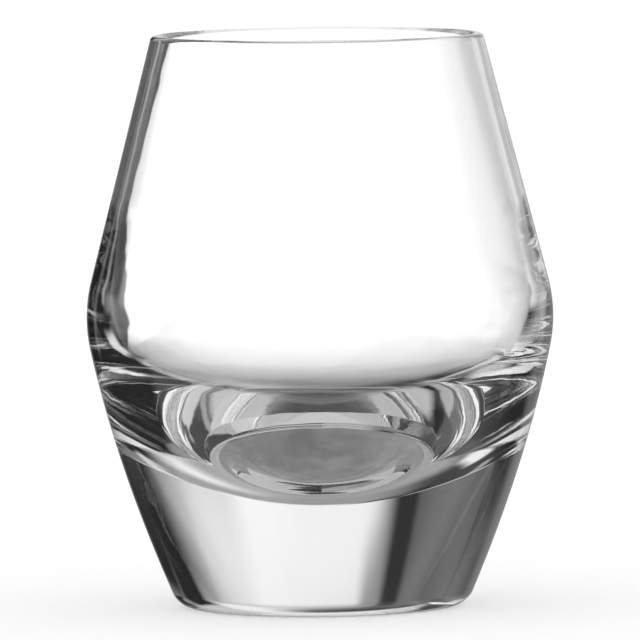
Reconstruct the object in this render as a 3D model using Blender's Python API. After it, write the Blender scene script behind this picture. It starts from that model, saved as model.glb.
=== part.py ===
"""Rocks glass: a thin drinking bowl carried in a heavy, clear, bowl-seated base.

The glass stands on Z = 0 with its axis on Z. Both pieces are turned from profiles in (radius, height).
Lengths are metres. A profile runs from the axis, up the inside, and then down its outer side.
"""
import math

import bmesh
import bpy
from mathutils import Vector

MM = 0.001

# Outside
HEIGHT = 105.0 * MM              # standing face to the top of the rim
RIM_RADIUS = 30.6 * MM           # outermost radius of the rounded rim
BELLY_RADIUS = 43.5 * MM         # where the upper and lower walls would meet if the crease were sharp
BELLY_HEIGHT = 53.8 * MM
BELLY_FILLET = 27.5 * MM         # soft crease around the widest part
FOOT_RADIUS = 26.4 * MM          # where the lower wall would meet the standing face
FOOT_FILLET = 4.6 * MM
LOWER_WALL_BOW = 1.4 * MM        # how far the lower wall swells past a straight line

# Inside
WALL = 2.2 * MM                  # even wall below the rim, and the shell of the bowl's floor
BASE_LIP = 1.4 * MM              # what the base adds around the bowl at the crease
BEND_RISE = 18.7 * MM            # above the belly corner; below this the inside turns in and thickens
BEND_FILLET = 55.0 * MM
BELLY_DROP = 4.7 * MM            # inner belly corner, below the outer one
INNER_FILLET = 20.0 * MM
FLOOR_HEIGHT = 23.5 * MM         # lowest point of the drinking bowl
FLOOR_TANGENT_RADIUS = 17.0 * MM # where the slope of the bowl's side meets the level of its floor

# Underside
RING_OFFSET = 8.0 * MM           # from the foot corner in to the edge of the shallow hollow
PUNT_DEPTH = 1.5 * MM

SEAM_GAP = 0.3 * MM              # between the bowl and its seat, where the hot glass is fused

# Facets
TURN_STEPS = 64
RIM_STEPS = 8
BELLY_STEPS = 6
BEND_STEPS = 2
CREASE_STEPS = 2
FOOT_STEPS = 6
FLOOR_STEPS = 9
WALL_STEPS = 6
PUNT_STEPS = 4

GLASS_COLOR = (0.94, 0.97, 0.97, 1.0)
GLASS_ROUGHNESS = 0.02
GLASS_IOR = 1.52


def clear_scene():
    for item in list(bpy.data.objects):
        bpy.data.objects.remove(item, do_unlink=True)


def glass_material(name):
    """Clear soda-lime glass."""
    material = bpy.data.materials.new(name)
    material.use_nodes = True
    shader = material.node_tree.nodes["Principled BSDF"]
    shader.inputs["Base Color"].default_value = GLASS_COLOR
    shader.inputs["Roughness"].default_value = GLASS_ROUGHNESS
    shader.inputs["Metallic"].default_value = 0.0
    shader.inputs["IOR"].default_value = GLASS_IOR
    shader.inputs["Transmission Weight"].default_value = 1.0
    return material


def arc(center, radius, start, end, steps):
    """Points of a circular arc, both ends included."""
    angles = [start + (end - start) * i / steps for i in range(steps + 1)]
    return [center + radius * Vector((math.cos(a), math.sin(a))) for a in angles]


def curve(start, control, end, steps):
    """Points of a parabola that leaves start and reaches end along the lines to control."""
    points = []
    for i in range(steps + 1):
        t = i / steps
        points.append((1 - t) ** 2 * start + 2 * t * (1 - t) * control + t * t * end)
    return points


def fillet(before, corner, after, radius):
    """Centre, radius and end angles of the arc that rounds a corner, at most half of either side long."""
    back = (before - corner).normalized()
    ahead = (after - corner).normalized()
    half = back.angle(ahead) / 2
    room = min((before - corner).length, (after - corner).length) / 2
    radius = min(radius, room * math.tan(half))
    center = corner + (back + ahead).normalized() * radius / math.sin(half)
    reach = radius / math.tan(half)
    first = corner + back * reach - center
    last = corner + ahead * reach - center
    start = math.atan2(first.y, first.x)
    turn = -first.angle_signed(last)
    return center, radius, start, start + turn


def outside():
    """The outer corners, the rim's round, and the straight upper wall that leaves it."""
    bead = WALL / 2
    rim = Vector((RIM_RADIUS - bead, HEIGHT - bead))
    belly = Vector((BELLY_RADIUS, BELLY_HEIGHT))
    foot = Vector((FOOT_RADIUS, 0.0))
    down = belly - rim
    flare = math.atan2(down.x, -down.y) - math.asin(bead / down.length)
    across = bead * Vector((math.cos(flare), math.sin(flare)))
    side = (foot - belly).normalized()
    swell = (belly + foot) / 2 + Vector((-side.y, side.x)) * 2 * LOWER_WALL_BOW
    return {"bead": bead, "rim": rim, "flare": flare, "outer_top": rim + across, "inner_top": rim - across,
            "belly": belly, "swell": swell, "foot": foot}


def crease(out):
    """The arc around the widest part: centre, radius, and the angles of its lower and upper ends."""
    return fillet(out["swell"], out["belly"], out["outer_top"], BELLY_FILLET)


def inside(out):
    """The corners of the drinking bowl: under the rim, the bend, the belly and the floor."""
    top = out["inner_top"]
    bend_height = BELLY_HEIGHT + BEND_RISE
    bend = Vector((top.x + (top.y - bend_height) * math.tan(out["flare"]), bend_height))
    belly = Vector((BELLY_RADIUS - WALL - BASE_LIP, BELLY_HEIGHT - BELLY_DROP))
    floor_corner = Vector((FLOOR_TANGENT_RADIUS, FLOOR_HEIGHT))
    floor = Vector((0.0, FLOOR_HEIGHT))
    return top, bend, belly, floor_corner, floor


def shifted_line(start, end, distance):
    """A line moved to the right of its direction, which is away from the drink."""
    along = (end - start).normalized()
    move = Vector((along.y, -along.x)) * distance
    return start + move, end + move


def crossing(line, other):
    """Where two lines in the profile meet."""
    along = line[1] - line[0]
    across = other[1] - other[0]
    gap = other[0] - line[0]
    return line[0] + along * gap.cross(across) / along.cross(across)


def seat(out, thickness, seam_height):
    """The skin under the bowl's floor, from the axis up to the seam: the inside moved out by a thickness."""
    _, bend, belly, floor_corner, floor = inside(out)
    level = shifted_line(floor, floor_corner, thickness)
    slope = shifted_line(floor_corner, belly, thickness)
    wall = shifted_line(belly, bend, thickness)
    low_corner = crossing(level, slope)
    belly_corner = crossing(slope, wall)
    center, radius, start, end = fillet(low_corner, belly_corner, wall[1], INNER_FILLET + thickness)
    if center.y + radius * math.sin(end) > seam_height:
        end = math.asin((seam_height - center.y) / radius)
        side = arc(center, radius, start, end, BELLY_STEPS)
    else:
        seam = Vector((0.0, seam_height)), Vector((BELLY_RADIUS, seam_height))
        side = arc(center, radius, start, end, BELLY_STEPS) + [crossing(wall, seam)]
    return curve(level[0], low_corner, side[0], FLOOR_STEPS) + side[1:]


def bowl_profile():
    out = outside()
    top, bend, belly, floor_corner, floor = inside(out)
    crease_center, crease_radius, _, crease_top = crease(out)
    crease_foot = math.asin(SEAM_GAP / crease_radius)
    side = arc(*fillet(floor_corner, belly, bend, INNER_FILLET), BELLY_STEPS)
    points = curve(floor, floor_corner, side[0], FLOOR_STEPS) + side[1:]
    points += arc(*fillet(belly, bend, top, BEND_FILLET), BEND_STEPS)
    points += arc(out["rim"], out["bead"], math.pi + out["flare"], out["flare"], RIM_STEPS)
    points += arc(crease_center, crease_radius, crease_top, crease_foot, CREASE_STEPS)
    under = seat(out, WALL, crease_center.y + SEAM_GAP)
    return points + under[::-1]


def base_profile():
    out = outside()
    crease_center, crease_radius, crease_foot, _ = crease(out)
    punt_radius = FOOT_RADIUS - RING_OFFSET
    ring = Vector((punt_radius, 0.0))
    points = seat(out, WALL + SEAM_GAP, crease_center.y)
    points += arc(crease_center, crease_radius, 0.0, crease_foot, CREASE_STEPS)
    foot = arc(*fillet(out["swell"], out["foot"], ring, FOOT_FILLET), FOOT_STEPS)
    points += curve(points[-1], out["swell"], foot[0], WALL_STEPS)[1:-1] + foot
    dome_radius = (punt_radius ** 2 + PUNT_DEPTH ** 2) / (2 * PUNT_DEPTH)
    dome_center = Vector((0.0, PUNT_DEPTH - dome_radius))
    dome_edge = math.acos(punt_radius / dome_radius)
    return points + arc(dome_center, dome_radius, dome_edge, math.pi / 2, PUNT_STEPS)


def turned(name, profile):
    """One closed body of revolution about Z."""
    mesh = bpy.data.meshes.new(name)
    outline = bmesh.new()
    vertices = [outline.verts.new((point.x, 0.0, point.y)) for point in profile]
    for first, second in zip(vertices, vertices[1:]):
        outline.edges.new((first, second))
    outline.to_mesh(mesh)
    outline.free()
    item = bpy.data.objects.new(name, mesh)
    bpy.context.collection.objects.link(item)
    screw = item.modifiers.new("Turn", "SCREW")
    screw.axis = "Z"
    screw.steps = TURN_STEPS
    screw.render_steps = TURN_STEPS
    screw.use_merge_vertices = True
    screw.merge_threshold = 0.00001
    screw.use_smooth_shade = True
    mesh.materials.append(glass_material(name + "_glass"))


clear_scene()
turned("bowl", bowl_profile())
turned("base", base_profile())
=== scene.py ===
"""Rocks glass: a thin drinking bowl fused to a heavy clear base, on a pale table in soft studio light.

The glass stands on Z = 0 with its axis on Z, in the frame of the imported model. Lengths are metres.
"""
import math

import bpy
import numpy as np
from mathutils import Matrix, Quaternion, Vector, noise


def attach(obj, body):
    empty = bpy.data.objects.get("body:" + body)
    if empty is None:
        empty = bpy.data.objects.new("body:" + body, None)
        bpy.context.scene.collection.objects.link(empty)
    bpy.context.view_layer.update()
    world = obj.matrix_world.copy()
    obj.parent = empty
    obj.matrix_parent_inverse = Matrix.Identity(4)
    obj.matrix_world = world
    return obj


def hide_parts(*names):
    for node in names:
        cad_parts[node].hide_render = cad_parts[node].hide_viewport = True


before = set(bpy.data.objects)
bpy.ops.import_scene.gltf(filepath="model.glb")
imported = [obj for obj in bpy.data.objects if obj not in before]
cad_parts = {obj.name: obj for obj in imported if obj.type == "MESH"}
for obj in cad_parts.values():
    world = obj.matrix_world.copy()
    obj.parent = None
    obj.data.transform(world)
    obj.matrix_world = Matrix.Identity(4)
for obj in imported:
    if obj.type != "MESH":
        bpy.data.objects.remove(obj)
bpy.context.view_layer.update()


# Drinking bowl
# A thin cone of clear soda-lime glass, blown and fire-polished at the rim. It widens down to a soft crease
# and closes below in a deep rounded floor. It is fused hot to its base, so no joint shows between them.

MM = 0.001

HEIGHT = 105.0 * MM               # standing face to the top of the rim
RIM_RADIUS = 30.6 * MM
BELLY_RADIUS = 43.5 * MM          # where the upper and lower walls would meet if the crease were sharp
BELLY_HEIGHT = 53.8 * MM
BELLY_FILLET = 27.5 * MM
FOOT_RADIUS = 26.4 * MM           # where the lower wall would meet the table
LOWER_WALL_BOW = 1.4 * MM
WALL = 2.2 * MM
BASE_LIP = 1.4 * MM               # what the base adds around the bowl at the crease
BEND_RISE = 18.7 * MM             # above the belly corner; below this the wall thickens
BEND_FILLET = 55.0 * MM
BELLY_DROP = 4.7 * MM             # inner belly corner, below the outer one
INNER_FILLET = 20.0 * MM
FLOOR_HEIGHT = 23.5 * MM
FLOOR_TANGENT_RADIUS = 17.0 * MM

TURNS = 192                       # facets around the axis
RIM_STEPS = 16
CREASE_STEPS = 12
BEND_STEPS = 8
BELLY_STEPS = 24
FLOOR_STEPS = 40
SEAM_FLOOR_STEPS = 16
SEAM_SIDE_STEPS = 12

FLOOR_RIPPLE = 0.012 * MM         # slow waves that the hot glass keeps where it cooled against no mould
RIPPLE_LENGTH = 8.0 * MM


def arc(center, radius, start, end, steps):
    """Points of a circular arc, both ends included."""
    angles = [start + (end - start) * i / steps for i in range(steps + 1)]
    return [center + radius * Vector((math.cos(a), math.sin(a))) for a in angles]


def parabola(start, control, end, steps):
    """Points of a curve that leaves start and reaches end along the lines to control."""
    shares = [i / steps for i in range(steps + 1)]
    return [(1 - t) ** 2 * start + 2 * t * (1 - t) * control + t * t * end for t in shares]


def rounding(before, corner, after, radius):
    """Centre, radius and end angles of the arc that rounds a corner, at most half of either side long."""
    back = (before - corner).normalized()
    ahead = (after - corner).normalized()
    half = back.angle(ahead) / 2
    room = min((before - corner).length, (after - corner).length) / 2
    radius = min(radius, room * math.tan(half))
    center = corner + (back + ahead).normalized() * radius / math.sin(half)
    reach = radius / math.tan(half)
    first = corner + back * reach - center
    last = corner + ahead * reach - center
    start = math.atan2(first.y, first.x)
    return center, radius, start, start - first.angle_signed(last)


def beside(start, end, distance):
    """A line moved away from the drink."""
    along = (end - start).normalized()
    move = Vector((along.y, -along.x)) * distance
    return start + move, end + move


def crossing(line, other):
    """Where two lines in the profile meet."""
    along = line[1] - line[0]
    across = other[1] - other[0]
    gap = other[0] - line[0]
    return line[0] + along * gap.cross(across) / along.cross(across)


bead = WALL / 2
rim = Vector((RIM_RADIUS - bead, HEIGHT - bead))
belly = Vector((BELLY_RADIUS, BELLY_HEIGHT))
foot = Vector((FOOT_RADIUS, 0.0))
fall = belly - rim
flare = math.atan2(fall.x, -fall.y) - math.asin(bead / fall.length)
wall_normal = Vector((math.cos(flare), math.sin(flare)))
lower_side = (foot - belly).normalized()
swell = (belly + foot) / 2 + Vector((-lower_side.y, lower_side.x)) * 2 * LOWER_WALL_BOW
crease_center, crease_radius, crease_foot, crease_top = rounding(
    swell, belly, rim + bead * wall_normal, BELLY_FILLET)

inner_top = rim - bead * wall_normal
bend_height = BELLY_HEIGHT + BEND_RISE
bend = Vector((inner_top.x + (inner_top.y - bend_height) * math.tan(flare), bend_height))
inner_belly = Vector((BELLY_RADIUS - WALL - BASE_LIP, BELLY_HEIGHT - BELLY_DROP))
floor_corner = Vector((FLOOR_TANGENT_RADIUS, FLOOR_HEIGHT))
floor_middle = Vector((0.0, FLOOR_HEIGHT))

side = arc(*rounding(floor_corner, inner_belly, bend, INNER_FILLET), BELLY_STEPS)
bowl_skin = parabola(floor_middle, floor_corner, side[0], FLOOR_STEPS) + side[1:]
bowl_skin += arc(*rounding(inner_belly, bend, inner_top, BEND_FILLET), BEND_STEPS)
bowl_skin += arc(rim, bead, math.pi + flare, flare, RIM_STEPS)
bowl_skin += arc(crease_center, crease_radius, crease_top, 0.0, CREASE_STEPS)

seam_height = crease_center.y
level = beside(floor_middle, floor_corner, WALL)
slope = beside(floor_corner, inner_belly, WALL)
inner_side = beside(inner_belly, bend, WALL)
seat_corner = crossing(level, slope)
seat_belly = crossing(slope, inner_side)
seat_arc = rounding(seat_corner, seat_belly, inner_side[1], INNER_FILLET + WALL)
seat_end = math.asin((seam_height - seat_arc[0].y) / seat_arc[1])
seat_side = arc(*seat_arc[:3], seat_end, SEAM_SIDE_STEPS)
fused_seam = parabola(level[0], seat_corner, seat_side[0], SEAM_FLOOR_STEPS) + seat_side[1:]


def turned(name, profile, skin_rows, ripple, materials):
    """A closed body turned from a profile that starts and ends on the axis.

    Rows in skin_rows are the glass that shows, and the others the hidden fused face.
    ripple gives the height of the waves for each point of the profile.
    """
    angles = np.arange(TURNS) * 2 * math.pi / TURNS
    points = np.array(profile)
    rings = np.empty((len(points), TURNS, 3))
    rings[..., 0] = points[:, :1] * np.cos(angles)
    rings[..., 1] = points[:, :1] * np.sin(angles)
    rings[..., 2] = points[:, 1:]

    def outward():
        along = np.gradient(rings, axis=0)
        around = np.roll(rings, -1, axis=1) - np.roll(rings, 1, axis=1)
        normals = np.cross(along, around)
        normals[0] = (0.0, 0.0, 1.0)
        normals[-1] = (0.0, 0.0, -1.0)
        seam_row = skin_rows[0] or skin_rows[-1] + 1
        normals[seam_row] = np.stack([np.cos(angles), np.sin(angles), 0 * angles], axis=-1)
        return normals / np.linalg.norm(normals, axis=-1, keepdims=True)

    waves = [noise.noise(Vector(point) / RIPPLE_LENGTH) for point in rings.reshape(-1, 3)]
    heights = np.array(ripple)[:, None] * np.reshape(waves, rings.shape[:2])
    rings += outward() * heights[..., None]
    normals = outward()

    last = len(points) - 1
    count = (last - 1) * TURNS + 2
    vertices = np.concatenate([rings[0, :1], rings[1:last].reshape(-1, 3), rings[last, :1]])
    shading = np.concatenate([normals[0, :1], normals[1:last].reshape(-1, 3), normals[last, :1]])

    def index(row, turn):
        if row == 0:
            return 0
        if row == last:
            return count - 1
        return 1 + (row - 1) * TURNS + turn % TURNS

    faces = []
    kinds = []
    for row in range(last):
        for turn in range(TURNS):
            near = [index(row, turn), index(row + 1, turn)]
            far = [index(row + 1, turn + 1), index(row, turn + 1)]
            faces.append(list(dict.fromkeys(near + far)))
            kinds.append(0 if row in skin_rows else 1)
    mesh = bpy.data.meshes.new(name)
    mesh.from_pydata(vertices.tolist(), [], faces)
    mesh.polygons.foreach_set("material_index", kinds)
    mesh.shade_smooth()
    mesh.normals_split_custom_set_from_vertices(shading.tolist())
    for material in materials:
        mesh.materials.append(material)
    item = bpy.data.objects.new(name, mesh)
    bpy.context.collection.objects.link(item)
    return item


def linear(code):
    """A colour written as an sRGB hex value, as the linear RGBA that shaders take."""
    shares = [int(code[i:i + 2], 16) / 255 for i in (1, 3, 5)]
    return [s / 12.92 if s <= 0.04045 else ((s + 0.055) / 1.055) ** 2.4 for s in shares] + [1.0]


def node(tree, kind, settings=None, **inputs):
    """Adds a node with its settings and links, and gives its first output.

    An input goes by its name, or by its number as _0, and takes a value or the socket that feeds it.
    """
    made = tree.nodes.new(kind)
    for key, value in (settings or {}).items():
        setattr(made, key, value)
    for key, value in inputs.items():
        socket = made.inputs[int(key[1:])] if key[1:].isdigit() else made.inputs[key.replace("_", " ")]
        if isinstance(value, bpy.types.NodeSocket):
            tree.links.new(value, socket)
        else:
            socket.default_value = value
    return made.outputs[0] if made.outputs else None


# Soda-lime glass, blown and fire-polished: colourless and mirror smooth, with faint waves left by the flame
# and, in patches, the thin haze that wiping leaves.
CLEAR_GLASS = "#FDFDFD"
GLASS_IOR = 1.52
HAZE_SIZE = 9.0 * MM
HAZE_START = 0.5                  # of the noise, so that half of the glass stays clear
HAZE_FULL = 0.8
HAZE_ROUGHNESS = 0.04
FLAME_WAVE_LENGTH = 3.0 * MM
FLAME_WAVE_HEIGHT = 0.006 * MM

clear_glass = bpy.data.materials.new("fire_polished_soda_lime_glass")
clear_glass.use_nodes = True
tree = clear_glass.node_tree
place = node(tree, "ShaderNodeTexCoord").node.outputs["Object"]
haze = node(tree, "ShaderNodeTexNoise", Vector=place, Scale=1 / HAZE_SIZE, Detail=3.0)
haze = node(tree, "ShaderNodeMapRange", Value=haze,
            From_Min=HAZE_START, From_Max=HAZE_FULL, To_Max=HAZE_ROUGHNESS)
waves = node(tree, "ShaderNodeTexNoise", Vector=place, Scale=1 / FLAME_WAVE_LENGTH, Detail=0.0)
waves = node(tree, "ShaderNodeBump", Height=waves, Distance=FLAME_WAVE_HEIGHT)
shader = tree.nodes["Principled BSDF"]
shader.inputs["Base Color"].default_value = linear(CLEAR_GLASS)
shader.inputs["Transmission Weight"].default_value = 1.0
shader.inputs["IOR"].default_value = GLASS_IOR
tree.links.new(haze, shader.inputs["Roughness"])
tree.links.new(waves, shader.inputs["Normal"])

# The hidden face where bowl and base melted into one another: light goes straight on.
fused_glass = bpy.data.materials.new("fused_glass_seam")
fused_glass.use_nodes = True
tree = fused_glass.node_tree
tree.nodes.remove(tree.nodes["Principled BSDF"])
straight_on = node(tree, "ShaderNodeBsdfTransparent")
tree.links.new(straight_on, tree.nodes["Material Output"].inputs["Surface"])

bowl_rows = range(len(bowl_skin) - 1)
depth = seam_height - FLOOR_HEIGHT
bowl_ripple = [FLOOR_RIPPLE * max(0.0, (seam_height - point.y) / depth) for point in bowl_skin]
bowl_profile = bowl_skin + fused_seam[::-1]
bowl_ripple += [0.0] * len(fused_seam)
bowl = turned("drinking_bowl", bowl_profile, bowl_rows, bowl_ripple, [clear_glass, fused_glass])
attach(bowl, "root")
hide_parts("bowl")


# Heavy base
# A thick block of the same clear glass under the bowl, pressed to a gentle swelling taper.
# It has a rounded foot edge, a flat standing ring and a shallow hollow underneath.

FOOT_FILLET = 4.6 * MM
RING_OFFSET = 8.0 * MM            # from the foot corner in to the edge of the shallow hollow
PUNT_DEPTH = 1.5 * MM
PUNT_EDGE_FILLET = 0.8 * MM
WALL_RIPPLE = 0.006 * MM

LOWER_WALL_STEPS = 24
FOOT_STEPS = 20
PUNT_EDGE_STEPS = 6
PUNT_STEPS = 16

ring_edge = Vector((FOOT_RADIUS - RING_OFFSET, 0.0))
dome_radius = (ring_edge.x ** 2 + PUNT_DEPTH ** 2) / (2 * PUNT_DEPTH)
dome_slope = math.asin(ring_edge.x / dome_radius)
dome_side = ring_edge + Vector((-math.cos(dome_slope), math.sin(dome_slope))) * PUNT_DEPTH * 2
foot_arc = arc(*rounding(swell, foot, ring_edge, FOOT_FILLET), FOOT_STEPS)
punt_edge = arc(*rounding(foot_arc[-1], ring_edge, dome_side, PUNT_EDGE_FILLET), PUNT_EDGE_STEPS)
dome_center = Vector((0.0, PUNT_DEPTH - dome_radius))
dome_start = math.acos(punt_edge[-1].x / dome_radius)
dome = arc(dome_center, dome_radius, dome_start, math.pi / 2, PUNT_STEPS)
base_skin = arc(crease_center, crease_radius, 0.0, crease_foot, CREASE_STEPS)
base_skin += parabola(base_skin[-1], swell, foot_arc[0], LOWER_WALL_STEPS)[1:-1] + foot_arc
base_skin += punt_edge + dome[1:]

base_rows = range(len(fused_seam), len(fused_seam) + len(base_skin))
base_ripple = [0.0] * len(fused_seam)
base_ripple += [WALL_RIPPLE * math.sin(math.pi * point.y / seam_height) for point in base_skin]
base = turned("heavy_base", fused_seam + base_skin, base_rows, base_ripple, [clear_glass, fused_glass])
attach(base, "root")
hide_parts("base")


# Table
# A large sheet of matt white board that takes the shadow. The camera and the soft light see it. The glass
# shows the lower half of the surroundings instead, which stands for the same board with the cards on it.

BOARD_WHITE = "#FDFDFD"
BOARD_ROUGHNESS = 0.9
TABLE_SIZE = 14.0

mesh = bpy.data.meshes.new("white_board")
half = TABLE_SIZE / 2
board_corners = [(-half, -half, 0.0), (half, -half, 0.0), (half, half, 0.0), (-half, half, 0.0)]
mesh.from_pydata(board_corners, [], [(0, 1, 2, 3)])
board = bpy.data.materials.new("matt_white_board")
board.use_nodes = True
shader = board.node_tree.nodes["Principled BSDF"]
shader.inputs["Base Color"].default_value = linear(BOARD_WHITE)
shader.inputs["Roughness"].default_value = BOARD_ROUGHNESS
shader.inputs["Specular IOR Level"].default_value = 0.0
mesh.materials.append(board)
table = bpy.data.objects.new("table", mesh)
bpy.context.collection.objects.link(table)
table.visible_glossy = False
table.visible_transmission = False


# Shaded patch
# A disc right under the glass that glows with painted shade and painted light, in place of the board in the
# glass's shade. Only rays that leave by the underside meet it. One that came straight down into the bowl
# finds it painted lit, and one that came a longer way finds it painted dim.

PATCH_RADIUS = 26.0 * MM
PATCH_DROP = 0.05 * MM            # below the standing face, so that the two stay apart
PATCH_SIDES = 96
PATCH_LIT = 0.85                  # painted lit tone, seen straight down into the bowl
PATCH_DEEP = (0.35, 0.02)         # painted shade seen through the bowl's side as well: front edge, and middle to back
PATCH_ONCE = (0.16, 0.31)         # mirrored once: painted shade and light, dim and light side, for the light the glass throws on it
PATCH_SLOPE = Vector((0.35, 0.25, 0.0)) / PATCH_RADIUS
PATCH_SPREAD = 0.5                # what slope and clouds add up to at the dimmest and the lightest spot
PATCH_CLOUD = 10.0 * MM           # uneven spots of painted light
CLOUD_LOW = 0.3                   # where most of the noise lies
CLOUD_HIGH = 0.7
CLOUD_SHARE = 0.25
PATCH_OFTEN = 0.03                # painted shade, mirrored two to five times
PATCH_GUIDED = 1.0                # painted light, mirrored more often
ONE_WALL = 2.5                    # a ray through one wall has crossed its two faces
MIRROR_LIMITS = (0.5, 1.5, 5.5)   # none, one, and two to five mirrorings lie below these


def by_turns(tree, turns, straight, once, often, guided):
    """One of four tones, by how many times the glass has mirrored a ray."""
    tone = straight
    for limit, next_tone in zip(MIRROR_LIMITS, (once, often, guided)):
        passed = node(tree, "ShaderNodeMath", {"operation": "GREATER_THAN"}, _0=turns, _1=limit)
        tone = node(tree, "ShaderNodeMix", _0=passed, _2=tone, _3=next_tone)
    return tone


angles = np.arange(PATCH_SIDES) * 2 * math.pi / PATCH_SIDES
edge = [(PATCH_RADIUS * math.cos(a), PATCH_RADIUS * math.sin(a), -PATCH_DROP) for a in angles]
mesh = bpy.data.meshes.new("painted_shade_patch")
mesh.from_pydata(edge, [], [range(PATCH_SIDES)])
shade = bpy.data.materials.new("painted_shade_under_glass")
shade.use_nodes = True
tree = shade.node_tree
tree.nodes.remove(tree.nodes["Principled BSDF"])
path = node(tree, "ShaderNodeLightPath").node.outputs
crossed = node(tree, "ShaderNodeMath", {"operation": "GREATER_THAN"},
               _0=path["Transmission Depth"], _1=ONE_WALL)
place = node(tree, "ShaderNodeTexCoord").node.outputs["Object"]
back = node(tree, "ShaderNodeSeparateXYZ", Vector=place).node.outputs["Y"]
deep = node(tree, "ShaderNodeMapRange", Value=back, From_Min=-PATCH_RADIUS, From_Max=0.0,
            To_Min=PATCH_DEEP[0], To_Max=PATCH_DEEP[1])
tone = node(tree, "ShaderNodeMix", _0=crossed, _2=PATCH_LIT, _3=deep)
cloud = node(tree, "ShaderNodeTexNoise", Vector=place, Scale=1 / PATCH_CLOUD, Detail=2.0, Distortion=1.0)
cloud = node(tree, "ShaderNodeMapRange", Value=cloud, From_Min=CLOUD_LOW, From_Max=CLOUD_HIGH,
             To_Min=-CLOUD_SHARE, To_Max=CLOUD_SHARE)
spread = node(tree, "ShaderNodeVectorMath", {"operation": "DOT_PRODUCT"}, _0=place, _1=PATCH_SLOPE)
spread = node(tree, "ShaderNodeMath", _0=spread.node.outputs["Value"], _1=cloud)
once = node(tree, "ShaderNodeMapRange", Value=spread, From_Min=-PATCH_SPREAD, From_Max=PATCH_SPREAD,
            To_Min=PATCH_ONCE[0], To_Max=PATCH_ONCE[1])
tone = by_turns(tree, path["Glossy Depth"], tone, once, PATCH_OFTEN, PATCH_GUIDED)
# The disc glows with the painted tone of shade or light, though it is no lamp.
glow = node(tree, "ShaderNodeEmission", Strength=tone)
tree.links.new(glow, tree.nodes["Material Output"].inputs["Surface"])
mesh.materials.append(shade)
patch = bpy.data.objects.new("painted_shade_patch", mesh)
bpy.context.collection.objects.link(patch)
patch.visible_camera = False
patch.visible_diffuse = False
patch.visible_shadow = False


# Surroundings
# A dark studio hung with white and grey cards. The table gets one soft even light from it, and the glass
# shows the cards. They hang by the direction in which a ray leaves the glass, in degrees right of straight
# behind it and degrees up. Each set is for rays that the glass has mirrored a given number of times.

# name: (left, right, low, high, brightness, degrees over which its sides fade, and its top and bottom)
# Rays that went straight through
SEEN_THROUGH = {
    "table_around": (46, 314, -100, 6, 1.20, 6, 8),
    "right_window": (72, 112, 8, 38, 0.90, 14, 10),
    "front_window": (150, 206, 8, 38, 0.95, 14, 10),
    "left_window": (-118, -74, 8, 38, 0.90, 14, 10),
    "left_wall": (-55, -22.5, 4, 44, 0.10, 2.5, 6),
    "left_wall_low": (-46, -25, -23, 6, 0.27, 4, 5),
    "right_wall": (-9, 46, -41, 8, 0.82, 18, 22),
    "top_left": (-180, 6, 38, 60, 0.00, 10, 8),
    "soft_box": (12, 47, 32, 70, 1.00, 24, 6),
    "ceiling": (-180, 180, 48, 95, 0.90, 1, 10),
    "sweep_right": (2, 45, 11, 33, 0.80, 40, 24),
    "sweep": (-14, 20, 8, 27, 0.95, 8, 21),
    "sweep_low": (-13.6, 32, -28, 9, 1.20, 1.6, 12),
    "sweep_rim": (-13.6, -6, -28, 9, 1.50, 1.6, 12),
    "sweep_dim": (10, 26, -9, 5, 0.92, 6, 5),
    "sweep_edge": (-15.5, -10, 20, 30, 0.25, 4, 10),
}
# In front of those, for rays through one wall only: the back of the rim, and the base
THROUGH_ONE_WALL = {
    "table_behind": (-60, 60, -100, -28, 1.10, 8, 6),
}
# In front of those, for rays through both walls of the bowl: its lower edge, which shows the table close to
# the glass with the glass's own shade painted on it, and the table straight under it lit
THROUGH_BOTH_WALLS = {
    "painted_shade_near": (0, 26, -100, -36, 0.45, 16, 24),
    "painted_shade_left": (-46, -10, -100, -42, 0.02, 10, 14),
    "table_under": (-60, 60, -100, -62, 1.15, 8, 3),
}
# Rays mirrored once: the gloss outside, and what the sides of the base turn to the front
MIRRORED_ONCE = {
    "front_room": (77, 254, -100, 95, 0.75, 14, 4),
    "front_floor": (106, 201, -47, -21, 0.12, 14, 6),
    "front_dark": (210, 238, 18, 38, 0.20, 18, 8),
    "left_table": (-146, -80, -58, -20, 1.10, 8, 12),
    "left_lamp": (-101, -46, 0, 29, 1.20, 8, 3),
    "left_reflector": (-92, -53, -8, 11, 0.85, 5, 6),
    "ceiling": (-75, 75, 34, 95, 0.80, 8, 6),
    "right_wall": (-5, 42, -12, 32, 0.85, 8, 5),
    "right_side": (40, 118, -7, 15, 0.33, 8, 3),
    "right_band": (19, 28, -14, 8, 0.40, 5, 4),
    "middle_low": (-11, 32, -44, -1, 0.34, 14, 3),
    "right_table": (10, 80, -48, -24, 1.00, 16, 16),
    "right_lamp": (62, 82, -19, -11, 0.90, 6, 5),
    "under": (-39, 40, -100, -34, 0.40, 8, 14),
    "left_glow": (-51, -16, 7, 34, 0.64, 6, 3),
    "left_band": (-34, -30, -10, 10, 0.40, 4, 2),
    "left_streak": (-37, -24, -32, -20, 1.00, 6, 5),
    "right_glow": (28, 52, 7, 20, 0.60, 6, 2),
    "left_gap": (-58, -42, 6, 28, 0.05, 5, 4),
}
# Rays mirrored two to five times: the dark shoulders and the ring around the underside
MIRRORED_OFTEN = {
    "left_room": (222, 300, -25, 50, 0.09, 8, 8),
    "middle": (-32, 32, -60, 58, 0.50, 16, 8),
    "middle_floor": (-32, 32, -60, -24, 0.62, 12, 8),
    "middle_top": (-32, 32, 44, 57, 0.62, 12, 8),
    "right_upper": (14, 102, 12, 80, 0.55, 8, 6),
    "left_upper": (-180, -30, 50, 95, 0.33, 8, 8),
    "left_lamp": (-74, -46, 9, 36, 0.40, 7, 6),
    "left_reflector": (-74, -50, -20, -7, 0.62, 6, 6),
    "right_band": (38, 48, -11, 12, 0.30, 6, 6),
    "right_streak": (102, 118, 0, 14, 0.30, 5, 10),
    "front_table": (160, 190, -18, 0, 0.95, 3, 5),
    "front_edge": (188, 216, -20, -12, 0.95, 4, 3),
}
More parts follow.
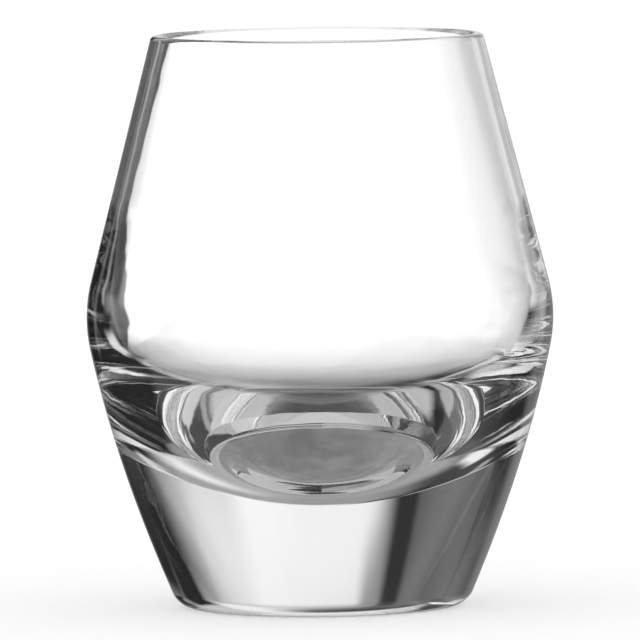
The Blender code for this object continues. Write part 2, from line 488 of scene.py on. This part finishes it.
# Rays that ran on along the inside of the base: its white crescents and streaks
GUIDED = {
    "front_lamp": (128, 226, 8, 66, 0.95, 6, 6),
    "front_low": (110, 130, 9, 20, 0.95, 4, 4),
    "right_reflector": (60, 132, -6, 9, 0.95, 6, 5),
    "right_patch": (130, 164, 1, 12, 1.00, 6, 4),
    "right_lamp": (58, 80, 8, 22, 0.70, 6, 4),
    "right_upper": (36, 130, 43, 95, 0.58, 8, 8),
    "middle": (-38, 48, -50, 52, 0.17, 8, 8),
    "left_upper": (-130, -70, 46, 80, 0.22, 8, 8),
    "left_glow": (-72, -42, 8, 34, 0.00, 6, 6),
    "right_glow": (42, 58, 15, 42, 0.36, 6, 6),
}
DARK_ROOM = 0.02
ROOM_LIGHT = 1.05                 # what the table gets straight from the room
LIGHT_THROUGH_GLASS = 1.50        # what the table gets through the glass, which keeps the shadow faint
BACKDROP = 1.0                    # what the camera sees behind the table
STUDIO_WHITE = "#FFFFFF"

studio = bpy.data.worlds.new("studio")
bpy.context.scene.world = studio
studio.use_nodes = True
tree = studio.node_tree

heading = node(tree, "ShaderNodeSeparateXYZ", Vector=node(tree, "ShaderNodeTexCoord")).node.outputs
azimuth = node(tree, "ShaderNodeMath", {"operation": "ARCTAN2"}, _0=heading["X"], _1=heading["Y"])
azimuth = node(tree, "ShaderNodeMath", {"operation": "DEGREES"}, _0=azimuth)
all_round = node(tree, "ShaderNodeMath", {"operation": "WRAP"}, _0=azimuth, _1=360.0, _2=0.0)
elevation = node(tree, "ShaderNodeMath", {"operation": "ARCSINE"}, _0=heading["Z"])
elevation = node(tree, "ShaderNodeMath", {"operation": "DEGREES"}, _0=elevation)


def within(angle, low, high, fade):
    """1 between two angles, falling softly to 0 outside them."""
    soft = {"interpolation_type": "SMOOTHSTEP"}
    reach = fade / 2
    rise = node(tree, "ShaderNodeMapRange", soft, Value=angle, From_Min=low - reach, From_Max=low + reach)
    drop = node(tree, "ShaderNodeMapRange", soft, Value=angle, From_Min=high - reach, From_Max=high + reach)
    return node(tree, "ShaderNodeMath", {"operation": "SUBTRACT"}, _0=rise, _1=drop)


def hung(cards, tone=DARK_ROOM):
    """The room's tone with the cards in it, each in front of the ones before."""
    for left, right, low, high, brightness, side_fade, end_fade in cards.values():
        across = within(all_round if right > 180 else azimuth, left, right, side_fade)
        up = within(elevation, low, high, end_fade)
        cover = node(tree, "ShaderNodeMath", {"operation": "MULTIPLY"}, _0=across, _1=up)
        tone = node(tree, "ShaderNodeMix", _0=cover, _2=tone, _3=brightness)
    return tone


path = node(tree, "ShaderNodeLightPath").node.outputs
straight = hung(SEEN_THROUGH)
through_one = hung(THROUGH_ONE_WALL, straight)
through_both = hung(THROUGH_BOTH_WALLS, straight)
crossed = node(tree, "ShaderNodeMath", {"operation": "GREATER_THAN"},
               _0=path["Transmission Depth"], _1=ONE_WALL)
straight = node(tree, "ShaderNodeMix", _0=crossed, _2=through_one, _3=through_both)
once = hung(MIRRORED_ONCE)
often = hung(MIRRORED_OFTEN)
guided = hung(GUIDED)
tone = by_turns(tree, path["Glossy Depth"], straight, once, often, guided)
from_table = node(tree, "ShaderNodeMath", {"operation": "MINIMUM"}, _0=path["Diffuse Depth"], _1=1.0)
tone = node(tree, "ShaderNodeMix", _0=from_table, _2=tone, _3=LIGHT_THROUGH_GLASS)
bent = node(tree, "ShaderNodeMath", {"operation": "MAXIMUM"},
            _0=path["Is Glossy Ray"], _1=path["Is Transmission Ray"])
strength = node(tree, "ShaderNodeMix", _0=bent, _2=ROOM_LIGHT, _3=tone)
strength = node(tree, "ShaderNodeMix", _0=path["Is Camera Ray"], _2=strength, _3=BACKDROP)
background = tree.nodes["Background"]
background.inputs["Color"].default_value = linear(STUDIO_WHITE)
tree.links.new(strength, background.inputs["Strength"])


# Camera
# A long lens a little above the rim, aimed at half the height of the glass.
# It is turned by the photograph's slight lean.

IMAGE_SIZE = 640
CAMERA_DISTANCE = 2.203
CAMERA_HEIGHT = 0.197
AIM_HEIGHT = 0.0525
FOCAL_PIXELS = 12044
LEAN = math.radians(0.62)
SENSOR_WIDTH = 36.0
FAR_CLIP = 100.0
GLASS_BOUNCES = 40                # enough for rays that run along inside the base

data = bpy.data.cameras.new("camera")
data.sensor_width = SENSOR_WIDTH
data.lens = SENSOR_WIDTH * FOCAL_PIXELS / IMAGE_SIZE
data.clip_end = FAR_CLIP
camera = bpy.data.objects.new("camera", data)
bpy.context.collection.objects.link(camera)
camera.location = (0.0, -CAMERA_DISTANCE, CAMERA_HEIGHT)
aim = Vector((0.0, 0.0, AIM_HEIGHT)) - camera.location
camera.rotation_mode = "QUATERNION"
camera.rotation_quaternion = aim.to_track_quat("-Z", "Y") @ Quaternion((0.0, 0.0, 1.0), -LEAN)
bpy.context.scene.camera = camera

scene = bpy.context.scene
scene.view_settings.view_transform = "Standard"
scene.cycles.max_bounces = GLASS_BOUNCES
scene.cycles.glossy_bounces = GLASS_BOUNCES
scene.cycles.transmission_bounces = GLASS_BOUNCES
scene.cycles.transparent_max_bounces = 2 * GLASS_BOUNCES
